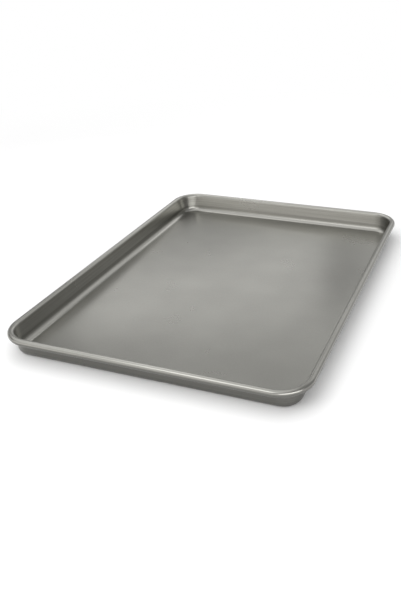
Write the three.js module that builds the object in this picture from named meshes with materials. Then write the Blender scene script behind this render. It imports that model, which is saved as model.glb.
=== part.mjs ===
// Sheet pan: a shallow tray pressed from one steel sheet, its edge rolled outwards over a rim wire.
// Millimetres, +Z up. The base rests on Z = 0, X runs across the pan and Y along it.
import * as THREE from 'three';

// Driving dimensions
const panLength = 457; // over the rim, along Y
const panWidth = 330; // over the rim, along X
const panHeight = 25; // from the table to the top of the rim
const sheetThickness = 0.8;
const wallDraft = 11.5; // degrees that the walls lean outwards
const floorFillet = 6.4; // inside radius between floor and wall
const rimCornerRadius = 34.5; // outermost line of the rim, seen from above
const wallFootCornerRadius = 20; // inside foot of the wall, seen from above
const floorCornerRadius = 11; // edge of the flat floor, seen from above
const wireDiameter = 5.2; // wire inside the rolled rim
const wireClearance = 0.3; // between the wire and the curl around it
const curlGap = 0.5; // between the cut edge of the curl and the wall
const wireJointGap = 0.4; // between the butted ends of the wire

// Facet counts
const cornerSteps = 10; // along each round corner
const filletSteps = 5;
const curlSteps = 18;
const wireSides = 12;

const coatedSteel = new THREE.MeshStandardMaterial({ color: 0x8e8e88, roughness: 0.4, metalness: 0.8 });
const zincedWire = new THREE.MeshStandardMaterial({ color: 0xa8aaad, roughness: 0.45, metalness: 1 });

// The section is drawn in two coordinates: the inset from the outermost line of the rim, and the height.
// Angles in it start at straight outwards and turn through straight up.
const draft = THREE.MathUtils.degToRad(wallDraft);
const down = -Math.PI / 2;

// The curl and the wire share one centre.
const curlInside = wireDiameter / 2 + wireClearance;
const curlOutside = curlInside + sheetThickness;
const curlCentre = { inset: curlOutside, height: panHeight - curlOutside };
const curlStart = Math.PI - draft; // where the wall runs into the curl
const curlOpening = Math.acos((curlInside - curlGap) / curlOutside);
const curlEnd = curlStart - 2 * Math.PI + curlOpening;

// The wall is the straight line that touches the curl and the fillet.
const wallHead = {
  inset: curlCentre.inset + curlOutside * Math.cos(draft),
  height: curlCentre.height + curlOutside * Math.sin(draft),
};
const wallFootHeight = sheetThickness + floorFillet * (1 - Math.sin(draft));
const wallRun = (wallHead.height - wallFootHeight) * Math.tan(draft);
const filletCentre = {
  inset: wallHead.inset + wallRun + floorFillet * Math.cos(draft),
  height: sheetThickness + floorFillet,
};

// Points of an arc in the section. The plan radius of the pan's corners grows on the way outwards.
function sectionArc({ centre, radius, from, to, steps, cornerRadiusAtCentre, cornerGrowth = 1 }) {
  return Array.from({ length: steps + 1 }, (_, step) => {
    const angle = from + ((to - from) * step) / steps;
    const outwards = radius * Math.cos(angle);
    return {
      inset: centre.inset - outwards,
      height: centre.height + radius * Math.sin(angle),
      cornerRadius: cornerRadiusAtCentre + cornerGrowth * outwards,
    };
  });
}

function filletArc(radius) {
  const reach = radius * Math.cos(draft);
  const footCornerRadius = wallFootCornerRadius + (radius - floorFillet) * Math.cos(draft);
  return sectionArc({
    centre: filletCentre,
    radius,
    from: down,
    to: -draft,
    steps: filletSteps,
    cornerRadiusAtCentre: floorCornerRadius,
    cornerGrowth: (footCornerRadius - floorCornerRadius) / reach,
  });
}

function rimArc(radius, from, to, steps) {
  return sectionArc({
    centre: curlCentre,
    radius,
    from,
    to,
    steps,
    cornerRadiusAtCentre: rimCornerRadius - curlCentre.inset,
  });
}

// A level line round the pan: a rectangle with round corners, anticlockwise from the end of the +X side.
function levelLine({ inset, height, cornerRadius }) {
  const across = panWidth / 2 - inset - cornerRadius;
  const along = panLength / 2 - inset - cornerRadius;
  const corners = [[across, along], [-across, along], [-across, -along], [across, -along]];
  const outline = new THREE.Path();
  corners.forEach(([x, y], quarter) => {
    const start = (quarter * Math.PI) / 2;
    outline.absarc(x, y, cornerRadius, start, start + Math.PI / 2);
  });
  return outline.getPoints(cornerSteps / 2).map(({ x, y }) => new THREE.Vector3(x, y, height));
}

// Triangles that fill a convex outline, given as vertex numbers
function fan(outline) {
  return outline.slice(2).flatMap((vertex, step) => [outline[0], outline[step + 1], vertex]);
}

// Triangles between neighbouring lines of equal length. The lines, or the section across them, may close.
function weave(lineCount, lineLength, linesClose, sectionCloses) {
  const triangles = [];
  const lastLine = sectionCloses ? lineCount : lineCount - 1;
  const lastPoint = linesClose ? lineLength : lineLength - 1;
  for (let line = 0; line < lastLine; line += 1) {
    const near = line * lineLength;
    const far = ((line + 1) % lineCount) * lineLength;
    for (let point = 0; point < lastPoint; point += 1) {
      const next = (point + 1) % lineLength;
      triangles.push(near + point, far + point, far + next);
      triangles.push(near + point, far + next, near + next);
    }
  }
  return triangles;
}

function namedMesh(name, lines, triangles, material) {
  const geometry = new THREE.BufferGeometry().setFromPoints(lines.flat());
  geometry.setIndex(triangles);
  geometry.computeVertexNormals();
  const mesh = new THREE.Mesh(geometry, material);
  mesh.name = name;
  return mesh;
}

// The pressing: baking floor, fillet, wall and curl on the food side, then back along the underside.
function panShell() {
  const foodSide = [
    ...filletArc(floorFillet),
    ...rimArc(curlOutside, curlStart, curlEnd, curlSteps),
  ];
  const underside = [
    ...filletArc(floorFillet + sheetThickness),
    ...rimArc(curlInside, curlStart, curlEnd, curlSteps),
  ].reverse();
  const lines = [...foodSide, ...underside].map(levelLine);
  const lineLength = lines[0].length;
  const floorEdge = lines[0].map((_, point) => point);
  const baseEdge = floorEdge.map((point) => (lines.length - 1) * lineLength + point);
  const triangles = [
    ...weave(lines.length, lineLength, true, false),
    ...fan(floorEdge),
    ...fan(baseEdge.reverse()),
  ];
  return namedMesh('pan_shell', lines, triangles, coatedSteel);
}

// The wire: one length bent round the rim, its two ends butted in the middle of the +X side.
function rimWire() {
  const radius = wireDiameter / 2;
  const sideStep = (2 * Math.PI) / wireSides;
  const section = rimArc(radius, 0, sideStep - 2 * Math.PI, wireSides - 1);
  const lines = section.map((place) => {
    const side = panWidth / 2 - place.inset;
    const startEnd = new THREE.Vector3(side, wireJointGap / 2, place.height);
    const finishEnd = new THREE.Vector3(side, -wireJointGap / 2, place.height);
    return [startEnd, ...levelLine(place), finishEnd];
  });
  const lineLength = lines[0].length;
  const startFace = lines.map((_, line) => line * lineLength);
  const finishFace = startFace.map((vertex) => vertex + lineLength - 1);
  const triangles = [
    ...weave(lines.length, lineLength, false, true),
    ...fan(startFace.reverse()),
    ...fan(finishFace),
  ];
  return namedMesh('rim_wire', lines, triangles, zincedWire);
}

const sheetPan = new THREE.Group();
sheetPan.name = 'sheet_pan';
sheetPan.add(panShell(), rimWire());

export default sheetPan;
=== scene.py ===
import math

import bmesh
import bpy
from mathutils import Matrix, Vector


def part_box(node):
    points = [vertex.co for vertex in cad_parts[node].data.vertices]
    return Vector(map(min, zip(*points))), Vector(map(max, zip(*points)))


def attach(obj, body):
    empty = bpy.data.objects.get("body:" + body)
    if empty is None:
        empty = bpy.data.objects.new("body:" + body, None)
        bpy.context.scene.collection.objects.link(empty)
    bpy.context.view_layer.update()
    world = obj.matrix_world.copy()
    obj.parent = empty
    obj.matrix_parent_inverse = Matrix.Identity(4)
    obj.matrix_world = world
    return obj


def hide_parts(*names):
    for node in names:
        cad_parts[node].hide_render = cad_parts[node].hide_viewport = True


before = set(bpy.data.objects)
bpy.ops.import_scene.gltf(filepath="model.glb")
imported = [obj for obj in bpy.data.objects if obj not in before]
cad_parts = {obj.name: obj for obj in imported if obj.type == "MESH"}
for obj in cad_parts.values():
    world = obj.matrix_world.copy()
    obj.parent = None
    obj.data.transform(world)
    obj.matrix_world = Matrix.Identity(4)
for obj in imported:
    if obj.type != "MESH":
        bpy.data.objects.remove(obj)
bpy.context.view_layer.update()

low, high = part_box("pan_shell")
panWidth, panLength, panHeight = (round(side, 4) for side in high - low)  # metres throughout
print("frame loaded:", ", ".join(sorted(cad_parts)))


# Camera, where the photograph was taken from
viewpoint = {
    "azimuth": 21.968,  # degrees round from the front
    "elevation": 27.682,
    "roll": -1.804,
    "distance": 0.8681,
    "aside": (0.0145, -0.0132),  # how far the lens sits off the line to the pan, across and up
    "lens": 42.66,  # millimetres, on a sensor as wide as the photograph is high
    "sensor": 36.0,
    "shift": (-0.0657, -0.0092),
}


def makeCamera():
    turns = (viewpoint[key] for key in ("azimuth", "elevation", "roll"))
    azimuth, elevation, roll = map(math.radians, turns)
    outwards = Vector((math.sin(azimuth), -math.cos(azimuth), 0))
    back = outwards * math.cos(elevation) + Vector((0, 0, math.sin(elevation)))
    level = Vector((math.cos(azimuth), math.sin(azimuth), 0))
    upright = back.cross(level)
    right = level * math.cos(roll) + upright * math.sin(roll)
    up = upright * math.cos(roll) - level * math.sin(roll)
    across, above = viewpoint["aside"]
    camera = bpy.data.objects.new("photoCamera", bpy.data.cameras.new("photoCamera"))
    camera.data.sensor_width = viewpoint["sensor"]
    camera.data.lens = viewpoint["lens"]
    camera.data.shift_x, camera.data.shift_y = viewpoint["shift"]
    placed = Matrix((right, up, back)).transposed().to_4x4()
    placed.translation = right * across + up * above + back * viewpoint["distance"]
    camera.matrix_world = placed
    bpy.context.scene.collection.objects.link(camera)
    bpy.context.scene.camera = camera
    print("camera placed at", [round(value, 3) for value in placed.translation])


# Section of the pressing: insets are from the outermost line of the rim, heights from the table
pressing = {
    "sheet": 0.0008,  # thickness
    "draft": 11.5,  # degrees that the walls lean outwards
    "fillet": 0.0064,  # inside, between floor and wall
    "rimCorner": 0.0345,  # plan radius of the outermost line of the rim
    "footCorner": 0.020,  # plan radius of the inside foot of the wall
    "floorCorner": 0.011,  # plan radius of the edge of the flat floor
    "curlGap": 0.0005,  # from the cut edge of the curl to the wall
    "edgeBulge": 0.0002,  # the cut edge is a little rounded
    "floorRows": (0.030, 0.008, 0.002, 0.0006),  # rows of faces inside the edge of the flat floor
    "rowCorner": 0.002,  # least plan radius of those rows
    "filletSteps": 16,
    "wallSteps": 8,
    "curlSteps": 60,
    "edgeSteps": 6,
    "cornerSteps": 28,
    "longSteps": 40,
    "shortSteps": 28,
    "sharpAngle": 35,  # degrees between faces that meet in a hard edge
}
rimWire = {
    "diameter": 0.0052,
    "clearance": 0.0003,  # to the curl around it
    "jointGap": 0.0004,  # between the butted ends
    "endBevel": 0.0006,
    "sides": 28,
    "sharpAngle": 35,
}
draft = math.radians(pressing["draft"])
curlInside = rimWire["diameter"] / 2 + rimWire["clearance"]
curlOutside = curlInside + pressing["sheet"]
curlCentre = Vector((curlOutside, panHeight - curlOutside))  # inset, height
curlStart = math.pi - draft
curlEnd = math.acos((curlInside - pressing["curlGap"]) / curlOutside) - math.pi - draft
curlCorner = pressing["rimCorner"] - curlOutside  # plan radius of the curl's centre line
wallHead = curlCentre + curlOutside * Vector((math.cos(draft), math.sin(draft)))
wallFootHeight = pressing["sheet"] + pressing["fillet"] * (1 - math.sin(draft))
wallFootInset = wallHead.x + (wallHead.y - wallFootHeight) * math.tan(draft)
filletCentre = Vector((
    wallFootInset + pressing["fillet"] * math.cos(draft),
    pressing["sheet"] + pressing["fillet"],
))


# A place in the section is an inset, a height and the plan radius of the pan's corners there
def placeFrom(centre, cornerAtCentre, outwards, upwards, cornerGrowth=1.0):
    return (centre.x - outwards, centre.y + upwards, cornerAtCentre + cornerGrowth * outwards)


def sectionArc(centre, cornerAtCentre, radius, start, stop, steps, cornerGrowth=1.0):
    places = []
    for step in range(steps + 1):
        angle = start + (stop - start) * step / steps
        outwards, upwards = radius * math.cos(angle), radius * math.sin(angle)
        places.append(placeFrom(centre, cornerAtCentre, outwards, upwards, cornerGrowth))
    return places


def betweenPlaces(first, last, steps):
    return [tuple(a + (b - a) * step / steps for a, b in zip(first, last))
            for step in range(1, steps)]


# Floor, fillet, wall and curl on one face of the sheet, from the middle outwards
def sheetFace(filletRadius, curlRadius, floorHeight):
    flat = [(filletCentre.x + row, floorHeight,
             max(pressing["floorCorner"] - row, pressing["rowCorner"]))
            for row in pressing["floorRows"]]
    reach = filletRadius * math.cos(draft)
    footCorner = pressing["footCorner"] + (filletRadius - pressing["fillet"]) * math.cos(draft)
    growth = (footCorner - pressing["floorCorner"]) / reach
    fillet = sectionArc(filletCentre, pressing["floorCorner"], filletRadius,
                        -math.pi / 2, -draft, pressing["filletSteps"], growth)
    curl = sectionArc(curlCentre, curlCorner, curlRadius, curlStart, curlEnd, pressing["curlSteps"])
    wall = betweenPlaces(fillet[-1], curl[0], pressing["wallSteps"])
    return flat + fillet + wall + curl


def cutEdge():
    places = []
    for step in range(1, pressing["edgeSteps"]):
        share = step / pressing["edgeSteps"]
        radius = curlOutside - pressing["sheet"] * share
        bulge = pressing["edgeBulge"] * math.sin(math.pi * share)
        outwards = radius * math.cos(curlEnd) + bulge * math.sin(curlEnd)
        upwards = radius * math.sin(curlEnd) - bulge * math.cos(curlEnd)
        places.append(placeFrom(curlCentre, curlCorner, outwards, upwards))
    return places


# A level line round the pan at one place of the section, anticlockwise seen from above
def levelLine(place):
    inset, height, corner = place
    across = panWidth / 2 - inset - corner
    along = panLength / 2 - inset - corner
    corners = [(across, along), (-across, along), (-across, -along), (across, -along)]
    arcs = []
    for quarter, (x, y) in enumerate(corners):
        angles = [(quarter + step / pressing["cornerSteps"]) * math.pi / 2
                  for step in range(pressing["cornerSteps"] + 1)]
        arcs.append([Vector((x + corner * math.cos(angle), y + corner * math.sin(angle), height))
                     for angle in angles])
    line = []
    for quarter, arc in enumerate(arcs):
        nextArc = arcs[(quarter + 1) % 4]
        steps = pressing["longSteps"] if quarter % 2 else pressing["shortSteps"]
        line += arc + [arc[-1].lerp(nextArc[0], step / steps) for step in range(1, steps)]
    return line


def quadsBetween(shape, rows, linesClose):
    for near, far in rows:
        last = len(near) if linesClose else len(near) - 1
        for point in range(last):
            following = (point + 1) % len(near)
            shape.faces.new((near[point], far[point], far[following], near[following]))


def meshPiece(name, shape, sharpAngle, node, material):
    mesh = bpy.data.meshes.new(name)
    shape.to_mesh(mesh)
    shape.free()
    mesh.polygons.foreach_set("use_smooth", [True] * len(mesh.polygons))
    mesh.set_sharp_from_angle(angle=math.radians(sharpAngle))
    mesh.materials.append(material)
    piece = bpy.data.objects.new(name, mesh)
    bpy.context.scene.collection.objects.link(piece)
    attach(piece, "root")
    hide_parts(node)
    print(name, "has", len(mesh.polygons), "faces")


def makePanShell(material):
    foodSide = sheetFace(pressing["fillet"], curlOutside, pressing["sheet"])
    underside = sheetFace(pressing["fillet"] + pressing["sheet"], curlInside, 0.0)
    places = foodSide + cutEdge() + underside[::-1]
    shape = bmesh.new()
    rows = [[shape.verts.new(point) for point in levelLine(place)] for place in places]
    quadsBetween(shape, zip(rows, rows[1:]), True)
    shape.faces.new(rows[0])
    shape.faces.new(rows[-1][::-1])
    meshPiece("panShell", shape, pressing["sharpAngle"], "pan_shell", material)


def makeRimWire(material):
    radius = rimWire["diameter"] / 2
    turn = 2 * math.pi / rimWire["sides"]
    shape = bmesh.new()
    rows = []
    for side in range(rimWire["sides"]):
        angle = -turn * side
        ring = []
        for reach in (radius - rimWire["endBevel"], radius):
            outwards, upwards = reach * math.cos(angle), reach * math.sin(angle)
            line = levelLine(placeFrom(curlCentre, curlCorner, outwards, upwards))
            middle = len(line) - pressing["longSteps"] // 2
            ring.append(line[middle:] + line[:middle + 1])
        inner, outer = ring
        half = rimWire["jointGap"] / 2
        bevel = half + rimWire["endBevel"]
        ends = [Vector((end.x, y, end.z)) for end, y in ((inner[0], half), (outer[0], bevel))]
        tail = [Vector((end.x, -y, end.z)) for end, y in ((outer[0], bevel), (inner[0], half))]
        rows.append([shape.verts.new(point) for point in ends + outer[1:-1] + tail])
    quadsBetween(shape, zip(rows, rows[1:] + rows[:1]), False)
    shape.faces.new([row[0] for row in rows][::-1])
    shape.faces.new([row[-1] for row in rows])
    meshPiece("rimWire", shape, rimWire["sharpAngle"], "rim_wire", material)


halfway = 0.5  # middle of a noise's range, and of a mix of two colours


# Node helpers
def addNode(tree, kind, sockets=None, **settings):
    node = tree.nodes.new(kind)
    for key, value in settings.items():
        setattr(node, key, value)
    for name, value in (sockets or {}).items():
        socket = node.inputs[name]
        if isinstance(value, bpy.types.NodeSocket):
            tree.links.new(value, socket)
        else:
            socket.default_value = value
    return node


def newMaterial(name):
    material = bpy.data.materials.new(name)
    material.use_nodes = True
    material.node_tree.nodes.clear()
    return material, material.node_tree


# Effects that the two finishes share, as node groups
def newGroup(name, inputs, outputs):
    tree = bpy.data.node_groups.new(name, "ShaderNodeTree")
    for socketName, kind, value in inputs:
        socket = tree.interface.new_socket(socketName, in_out="INPUT", socket_type=kind)
        socket.default_value = value
    for socketName, kind in outputs:
        tree.interface.new_socket(socketName, in_out="OUTPUT", socket_type=kind)
    return tree, addNode(tree, "NodeGroupInput").outputs


def useGroup(tree, group, sockets):
    return addNode(tree, "ShaderNodeGroup", sockets, node_tree=group).outputs


# One result of two values, or of two vectors
def combine(tree, operation, first, second):
    return addNode(tree, "ShaderNodeMath", {0: first, 1: second}, operation=operation).outputs[0]


def combineVectors(tree, operation, first, second):
    return addNode(tree, "ShaderNodeVectorMath", {0: first, 1: second}, operation=operation).outputs


# Fine level lines, left where the sheet and the wire were drawn
def makeDrawnLines():
    tree, given = newGroup(
        "drawnLines",
        [("Run", "NodeSocketFloat", 12.0),
         ("Pitch", "NodeSocketFloat", 700.0),
         ("Contrast", "NodeSocketFloat", 1.0)],
        [("Lines", "NodeSocketFloat")])
    place = addNode(tree, "ShaderNodeTexCoord").outputs["Object"]
    stretch = addNode(tree, "ShaderNodeCombineXYZ", {
        "X": given["Run"], "Y": given["Run"], "Z": given["Pitch"],
    })
    drawn = combineVectors(tree, "MULTIPLY", place, stretch.outputs["Vector"])["Vector"]
    noise = addNode(tree, "ShaderNodeTexNoise", {
        "Vector": drawn, "Scale": 1.0, "Detail": 3.0, "Roughness": 0.62,
    })
    centred = combine(tree, "SUBTRACT", noise.outputs["Fac"], halfway)
    lines = combine(tree, "MULTIPLY", centred, given["Contrast"])
    addNode(tree, "NodeGroupOutput", {"Lines": lines})
    return tree


# Soft patches from handling and washing, with a finer grain inside them
def makePatches():
    tree, given = newGroup(
        "handlingPatches",
        [("Scale", "NodeSocketFloat", 9.0), ("Contrast", "NodeSocketFloat", 1.0)],
        [("Patches", "NodeSocketFloat")])
    place = addNode(tree, "ShaderNodeTexCoord").outputs["Object"]
    noise = addNode(tree, "ShaderNodeTexNoise", {
        "Vector": place, "Scale": given["Scale"], "Detail": 4.0, "Roughness": 0.55,
        "Distortion": 0.4,
    })
    centred = combine(tree, "SUBTRACT", noise.outputs["Fac"], halfway)
    patches = combine(tree, "MULTIPLY", centred, given["Contrast"])
    addNode(tree, "NodeGroupOutput", {"Patches": patches})
    return tree


# Flakes and grains in the finish: a tone for each cell and a height for the bump
def makeFlecks():
    tree, given = newGroup(
        "flecks",
        [("Cells", "NodeSocketFloat", 1300.0), ("Contrast", "NodeSocketFloat", 1.0)],
        [("Tone", "NodeSocketFloat"), ("Height", "NodeSocketFloat")])
    place = addNode(tree, "ShaderNodeTexCoord").outputs["Object"]
    cells = addNode(tree, "ShaderNodeTexVoronoi", {"Vector": place, "Scale": given["Cells"]})
    tone = addNode(tree, "ShaderNodeSeparateColor", {"Color": cells.outputs["Color"]})
    centred = combine(tree, "SUBTRACT", tone.outputs["Red"], halfway)
    swing = combine(tree, "MULTIPLY", centred, given["Contrast"])
    addNode(tree, "NodeGroupOutput", {"Tone": swing, "Height": cells.outputs["Distance"]})
    return tree


drawnLines, handlingPatches, flecks = makeDrawnLines(), makePatches(), makeFlecks()


def addUp(tree, *values):
    total = values[0]
    for value in values[1:]:
        total = combine(tree, "ADD", total, value)
    return total


# A colour between two, by a value that swings about zero
def toneBetween(tree, dark, light, swing):
    share = addUp(tree, swing, halfway)
    mixed = addNode(tree, "ShaderNodeMix", {"Factor": share}, data_type="RGBA")
    mixed.inputs["A"].default_value, mixed.inputs["B"].default_value = dark, light
    return mixed.outputs["Result"]


# Non-stick coating: grey with fine metal flake, over lines left in the drawn walls, with painted
# shade above the fillet, round the base edge and on the outside
coating = {
    "darkColour": (0.220, 0.217, 0.201, 1.0),
    "lightColour": (0.382, 0.378, 0.351, 1.0),
    "metallic": 1.0,
    "roughness": 0.28,
    "wallLines": {"Run": 5.0, "Pitch": 420.0, "Contrast": 1.2},
    "patches": {"Scale": 8.0, "Contrast": 0.05},
    "smears": {"Scale": 20.0, "Contrast": 0.04},
    "flake": {"Cells": 1250.0, "Contrast": 0.10},
    "creaseShadeBand": (0.0055, 0.0072, 0.0085, 0.0105),  # painted shade: darker above the fillet, on the food side
    "creaseShadeTone": -0.40,
    "baseEdgeShadeBand": (0.0001, 0.0008, 0.0022, 0.0045),  # painted shadow: darker round the edge of the base, outside, standing for the contact shadow it reflects
    "baseEdgeShadeTone": -0.50,
    "outsidePaintedShade": (0.58, 0.58, 0.58, 1.0),  # painted shade: the outside is darkened, standing for the shaded table that it reflects
    "outsideShadeFrom": (0.5, 0.0),  # upward part of the normal where that painted shade starts and ends on the rim
    "peelSize": 420.0,  # waves to the metre of the sprayed coat
    "peelDepth": 0.000004,
    "flakeDepth": 0.000002,
}


# A tone that fades in and out again with the height, on the upper or the under face of the sheet;
# here it paints bands of shade
def toneBand(tree, band, tone, face):
    place = addNode(tree, "ShaderNodeTexCoord").outputs["Object"]
    height = addNode(tree, "ShaderNodeSeparateXYZ", {"Vector": place}).outputs["Z"]
    bottom, full, fading, top = band
    rise = addNode(tree, "ShaderNodeMapRange", {
        "Value": height, "From Min": bottom, "From Max": full, "To Min": 0.0, "To Max": tone,
    }, interpolation_type="SMOOTHSTEP")
    fall = addNode(tree, "ShaderNodeMapRange", {
        "Value": height, "From Min": fading, "From Max": top, "To Min": 1.0, "To Max": 0.0,
    }, interpolation_type="SMOOTHSTEP")
    facing = addNode(tree, "ShaderNodeNewGeometry").outputs["Normal"]
    upwards = addNode(tree, "ShaderNodeSeparateXYZ", {"Vector": facing}).outputs["Z"]
    inBand = combine(tree, "MULTIPLY", rise.outputs["Result"], fall.outputs["Result"])
    return combine(tree, "MULTIPLY", inBand, combine(tree, face, upwards, 0.0))


# Where shade is painted on the outside of the pan: the rim's outer flank, the walls' outer faces
# and the base
def outsideShadeMask(tree):
    place = addNode(tree, "ShaderNodeTexCoord").outputs["Object"]
    level = combineVectors(tree, "MULTIPLY", place, (1, 1, 0))["Vector"]
    facing = addNode(tree, "ShaderNodeNewGeometry").outputs["Normal"]
    outwards = combineVectors(tree, "DOT_PRODUCT", level, facing)["Value"]
    upwards = addNode(tree, "ShaderNodeSeparateXYZ", {"Vector": facing}).outputs["Z"]
    outer = combine(tree, "GREATER_THAN", outwards, 0.0)
    under = combine(tree, "LESS_THAN", upwards, 0.0)
    start, end = coating["outsideShadeFrom"]
    fade = addNode(tree, "ShaderNodeMapRange", {
        "Value": upwards, "From Min": start, "From Max": end,
    }, interpolation_type="SMOOTHSTEP")
    return combine(tree, "MULTIPLY", fade.outputs["Result"], combine(tree, "MAXIMUM", outer, under))


def makeCoating():
    material, tree = newMaterial("nonStickCoat")
    lines = useGroup(tree, drawnLines, coating["wallLines"])["Lines"]
    patches = useGroup(tree, handlingPatches, coating["patches"])["Patches"]
    smears = useGroup(tree, handlingPatches, coating["smears"])["Patches"]
    flake = useGroup(tree, flecks, coating["flake"])
    # painted shade: a dark band above the fillet inside, and one round the edge of the base outside
    creaseShade = toneBand(tree, coating["creaseShadeBand"], coating["creaseShadeTone"], "GREATER_THAN")
    edge = toneBand(tree, coating["baseEdgeShadeBand"], coating["baseEdgeShadeTone"], "LESS_THAN")
    inside = toneBetween(tree, coating["darkColour"], coating["lightColour"],
                         addUp(tree, lines, patches, flake["Tone"], creaseShade, edge))
    # painted shade: the outside of the pan is multiplied darker
    shaded = addNode(tree, "ShaderNodeMix", {"Factor": outsideShadeMask(tree)},
                     data_type="RGBA", blend_type="MULTIPLY")
    tree.links.new(inside, shaded.inputs["A"])
    shaded.inputs["B"].default_value = coating["outsidePaintedShade"]
    place = addNode(tree, "ShaderNodeTexCoord").outputs["Object"]
    peel = addNode(tree, "ShaderNodeTexNoise", {
        "Vector": place, "Scale": coating["peelSize"], "Detail": 1.0,
    })
    wavy = addNode(tree, "ShaderNodeBump", {
        "Height": peel.outputs["Fac"], "Strength": 1.0, "Distance": coating["peelDepth"],
    })
    grainy = addNode(tree, "ShaderNodeBump", {
        "Height": flake["Height"], "Strength": 1.0, "Distance": coating["flakeDepth"],
        "Normal": wavy.outputs["Normal"],
    })
    surface = addNode(tree, "ShaderNodeBsdfPrincipled", {
        "Base Color": shaded.outputs["Result"],
        "Metallic": coating["metallic"],
        "Roughness": addUp(tree, smears, coating["roughness"]),
        "Normal": grainy.outputs["Normal"],
    })
    addNode(tree, "ShaderNodeOutputMaterial", {"Surface": surface.outputs["BSDF"]})
    return material


# Rim wire: drawn, with a thin coat of zinc
wireFinish = {
    "darkColour": (0.40, 0.41, 0.43, 1.0),
    "lightColour": (0.58, 0.59, 0.61, 1.0),
    "metallic": 1.0,
    "roughness": 0.38,
    "drawing": {"Run": 20.0, "Pitch": 1800.0, "Contrast": 1.4},
    "patches": {"Scale": 60.0, "Contrast": 1.2},
    "dulling": {"Scale": 140.0, "Contrast": 0.3},
    "spangle": {"Cells": 900.0, "Contrast": 0.7},
    "grainDepth": 0.000008,
}


def makeWireFinish():
    material, tree = newMaterial("zincedWire")
    lines = useGroup(tree, drawnLines, wireFinish["drawing"])["Lines"]
    patches = useGroup(tree, handlingPatches, wireFinish["patches"])["Patches"]
    dulling = useGroup(tree, handlingPatches, wireFinish["dulling"])["Patches"]
    spangle = useGroup(tree, flecks, wireFinish["spangle"])
    colour = toneBetween(tree, wireFinish["darkColour"], wireFinish["lightColour"],
                         addUp(tree, lines, patches, spangle["Tone"]))
    grainy = addNode(tree, "ShaderNodeBump", {
        "Height": spangle["Height"], "Strength": 1.0, "Distance": wireFinish["grainDepth"],
    })
    surface = addNode(tree, "ShaderNodeBsdfPrincipled", {
        "Base Color": colour,
        "Metallic": wireFinish["metallic"],
        "Roughness": addUp(tree, dulling, wireFinish["roughness"]),
        "Normal": grainy.outputs["Normal"],
    })
    addNode(tree, "ShaderNodeOutputMaterial", {"Surface": surface.outputs["BSDF"]})
    return material


# Studio: a pale floor, pale surroundings and soft lamps
studio = {
    "floorSize": 40.0,
    "floorDrop": 0.0002,  # below the base
    "floorColour": (0.94, 0.94, 0.94, 1.0),
    "whiteFrom": (0.6, 1.1),  # distances between which the floor fades to plain white
    "contactGap": 0.0006,  # rays from the base as short as this pass through, for views from below
    "surroundings": 0.46,
}


def makeFloor():
    shape = bmesh.new()
    bmesh.ops.create_grid(shape, x_segments=1, y_segments=1, size=studio["floorSize"] / 2)
    mesh = bpy.data.meshes.new("studioFloor")
    shape.to_mesh(mesh)
    shape.free()
    floor = bpy.data.objects.new("studioFloor", mesh)
    floor.location.z = -studio["floorDrop"]
    bpy.context.scene.collection.objects.link(floor)
    material, tree = newMaterial("studioFloor")
    paint = addNode(tree, "ShaderNodeBsdfDiffuse", {"Color": studio["floorColour"]})
    white = addNode(tree, "ShaderNodeEmission", {"Color": (1, 1, 1, 1), "Strength": 1.0})
    clear = addNode(tree, "ShaderNodeBsdfTransparent")
    facing = addNode(tree, "ShaderNodeNewGeometry")
    away = addNode(tree, "ShaderNodeVectorMath", {0: facing.outputs["Position"]},
                   operation="LENGTH")
    near, far = studio["whiteFrom"]
    fade = addNode(tree, "ShaderNodeMapRange", {
        "Value": away.outputs["Value"], "From Min": near, "From Max": far,
    }, interpolation_type="SMOOTHSTEP")
    path = addNode(tree, "ShaderNodeLightPath").outputs
    seen = addUp(tree, path["Is Camera Ray"], path["Is Glossy Ray"], path["Is Transmission Ray"])
    shown = combine(tree, "MULTIPLY", fade.outputs["Result"], combine(tree, "MINIMUM", seen, 1.0))
    top = addNode(tree, "ShaderNodeMixShader", {
        "Fac": shown, 1: paint.outputs["BSDF"], 2: white.outputs["Emission"],
    })
    touching = combine(tree, "LESS_THAN", path["Ray Length"], studio["contactGap"])
    through = combine(tree, "MAXIMUM", facing.outputs["Backfacing"], touching)
    surface = addNode(tree, "ShaderNodeMixShader", {
        "Fac": through, 1: top.outputs["Shader"], 2: clear.outputs["BSDF"],
    })
    addNode(tree, "ShaderNodeOutputMaterial", {"Surface": surface.outputs["Shader"]})
    mesh.materials.append(material)


def makeWorld():
    world = bpy.data.worlds.new("studioWorld")
    bpy.context.scene.world = world
    world.use_nodes = True
    tree = world.node_tree
    tree.nodes.clear()
    sky = addNode(tree, "ShaderNodeBackground", {
        "Color": (1, 1, 1, 1), "Strength": studio["surroundings"],
    })
    addNode(tree, "ShaderNodeOutputWorld", {"Surface": sky.outputs["Background"]})


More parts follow.
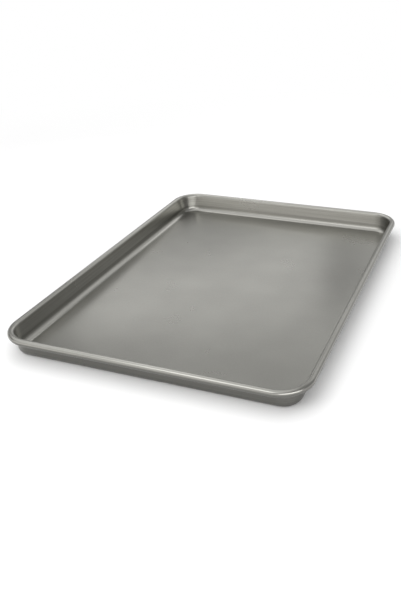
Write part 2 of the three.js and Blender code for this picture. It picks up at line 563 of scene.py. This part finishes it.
# Lamps: azimuth in degrees round from the front, brightness next to plain white
plainTint, warmTint = (1.0, 1.0, 1.0), (1.0, 0.975, 0.94)
lamps = {
    "overheadLight": {
        "azimuth": 290, "elevation": 70, "distance": 3.0,
        "spread": 90, "brightness": 0.86,
    },
    "keySoftbox": {
        "azimuth": 350, "elevation": 40, "distance": 0.87,
        "size": (0.5, 0.32), "brightness": 2.3,
    },
    "frontSoftbox": {
        "azimuth": 340, "elevation": 8, "distance": 1.5,
        "size": (2.7, 0.5), "brightness": 1.2, "tint": warmTint,
    },
    "sideSoftbox": {
        "azimuth": 47, "elevation": 13, "distance": 1.4,
        "size": (1.4, 0.5), "brightness": 3.6,
    },
    "backSoftbox": {
        "azimuth": 209, "elevation": 28, "distance": 0.65,
        "size": (0.54, 0.15), "brightness": 1.08,
    },
    "farSoftbox": {
        "azimuth": 162, "elevation": 35, "distance": 1.7,
        "size": (1.3, 1.1), "brightness": 0.68,
    },
    "lowSoftbox": {
        "azimuth": 148, "elevation": 11, "distance": 1.6,
        "size": (0.6, 0.5), "brightness": 0.2, "tint": warmTint,
    },
    "topSoftbox": {
        "azimuth": 224, "elevation": 58, "distance": 1.6,
        "size": (0.9, 0.5), "brightness": 1.2,
    },
}


def makeLamp(name, lamp):
    light = bpy.data.lights.new(name, "SUN" if "spread" in lamp else "AREA")
    if "spread" in lamp:
        light.angle = math.radians(lamp["spread"])
        light.energy = lamp["brightness"] * math.pi * math.sin(light.angle / 2) ** 2
    else:
        light.shape = "RECTANGLE"
        light.size, light.size_y = lamp["size"]
        light.energy = lamp["brightness"] * math.pi * light.size * light.size_y
    light.color = lamp.get("tint", plainTint)
    lampObject = bpy.data.objects.new(name, light)
    azimuth, elevation = math.radians(lamp["azimuth"]), math.radians(lamp["elevation"])
    outwards = Vector((math.sin(azimuth), -math.cos(azimuth), 0)) * math.cos(elevation)
    direction = outwards + Vector((0, 0, math.sin(elevation)))
    lampObject.location = direction * lamp["distance"]
    lampObject.rotation_euler = direction.to_track_quat("Z", "Y").to_euler()
    lampObject.visible_camera = False
    bpy.context.scene.collection.objects.link(lampObject)


makeCamera()
makePanShell(makeCoating())
makeRimWire(makeWireFinish())
makeFloor()
makeWorld()
for lampName, lampSettings in lamps.items():
    makeLamp(lampName, lampSettings)
bpy.context.scene.view_settings.view_transform = "Standard"
print("studio lit by", ", ".join(lamps))
